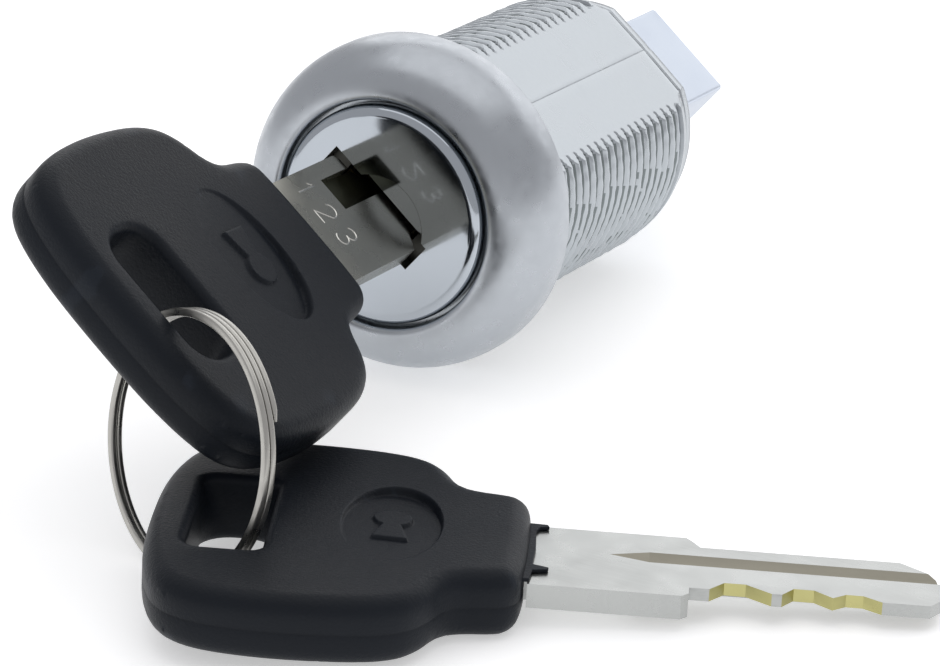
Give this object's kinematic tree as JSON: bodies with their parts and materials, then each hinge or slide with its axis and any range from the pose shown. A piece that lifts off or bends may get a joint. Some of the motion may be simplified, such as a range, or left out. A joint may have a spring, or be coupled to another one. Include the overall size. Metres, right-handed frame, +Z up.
{
  "type": "cam lock",
  "caption": "Threaded cam lock with a domed bezel, flat-sided barrel and square drive tail, holding a plastic-headed key that shares a split ring with a spare.",
  "frame": {"origin": "centre of the footprint of the lock, keys and ring as they lie, on the surface they lie on", "axes": "+Z up from that surface; +Y towards the lock's square tail (its front and the keys are on the -Y side); +X towards the loose key's blade"},
  "size_m": [0.0686, 0.1022, 0.0269],
  "materials": {
    "zinc_body": "bright zinc-plated die casting, fine satin",
    "chrome_bezel": "polished chrome",
    "zinc_plate": "satin plated sheet",
    "zinc_plug": "satin die casting",
    "chrome_face": "polished, slightly soft",
    "wafer_brass": "stamped brass",
    "spring_steel": "drawn spring wire",
    "nickel_key": "satin nickel plate over brass, brass bare in the cuts",
    "black_plastic": "fine moulded satin",
    "ring_steel": "satin spring steel strip"
  },
  "bodies": {
    "housing": {"housing": "zinc_body", "bezel": "chrome_bezel", "back_plate": "zinc_plate"},
    "plug": {"plug": "zinc_plug", "plug_cap": "chrome_face", "wafer_spring_1": "spring_steel", "wafer_spring_2": "spring_steel", "wafer_spring_3": "spring_steel", "wafer_spring_4": "spring_steel", "wafer_spring_5": "spring_steel"},
    "wafer_1": {"wafer_1": "wafer_brass"},
    "wafer_2": {"wafer_2": "wafer_brass"},
    "wafer_3": {"wafer_3": "wafer_brass"},
    "wafer_4": {"wafer_4": "wafer_brass"},
    "wafer_5": {"wafer_5": "wafer_brass"},
    "key_1": {"key_1_blade": "nickel_key", "key_1_bow": "black_plastic"},
    "split_ring": {"split_ring": "ring_steel"},
    "key_2": {"key_2_blade": "nickel_key", "key_2_bow": "black_plastic"}
  },
  "joints": [
    {"name": "plug_turn", "type": "hinge", "parent": "housing", "child": "plug", "pos_m": [-0.02109, 0.00559, 0.01327], "axis": [0, 0.9969, -0.0787], "range_deg": [0, 90]},
    {"name": "key_slide", "type": "slide", "parent": "plug", "child": "key_1", "axis": [0, -0.9969, 0.0787], "range_m": [0, 0.028]},
    {"name": "wafer_1_slide", "type": "slide", "parent": "plug", "child": "wafer_1", "axis": [0.7547, -0.0516, -0.654], "range_m": [0, 0.0009]},
    {"name": "wafer_2_slide", "type": "slide", "parent": "plug", "child": "wafer_2", "axis": [0.7547, -0.0516, -0.654], "range_m": [0, 0.0009]},
    {"name": "wafer_3_slide", "type": "slide", "parent": "plug", "child": "wafer_3", "axis": [0.7547, -0.0516, -0.654], "range_m": [0, 0.0009]},
    {"name": "wafer_4_slide", "type": "slide", "parent": "plug", "child": "wafer_4", "axis": [0.7547, -0.0516, -0.654], "range_m": [0, 0.0009]},
    {"name": "wafer_5_slide", "type": "slide", "parent": "plug", "child": "wafer_5", "axis": [0.7547, -0.0516, -0.654], "range_m": [0, 0.0009]},
    {"name": "ring_swing", "type": "hinge", "parent": "key_1", "child": "split_ring", "pos_m": [-0.02177, -0.03558, 0.01711], "axis": [0.7547, -0.0516, -0.654], "range_deg": [-15, 0.5]},
    {"name": "key_2_swing", "type": "hinge", "parent": "split_ring", "child": "key_2", "pos_m": [-0.01617, -0.0369, 0.00964], "axis": [0.4109, 0.8888, -0.2029], "range_deg": [-20, 2]}
  ],
  "couplings": [
    {"joint": "wafer_1_slide", "follows": "key_slide", "ratio": 0.032},
    {"joint": "wafer_2_slide", "follows": "key_slide", "ratio": 0.032},
    {"joint": "wafer_3_slide", "follows": "key_slide", "ratio": 0.032},
    {"joint": "wafer_4_slide", "follows": "key_slide", "ratio": 0.032},
    {"joint": "wafer_5_slide", "follows": "key_slide", "ratio": 0.032}
  ]
}
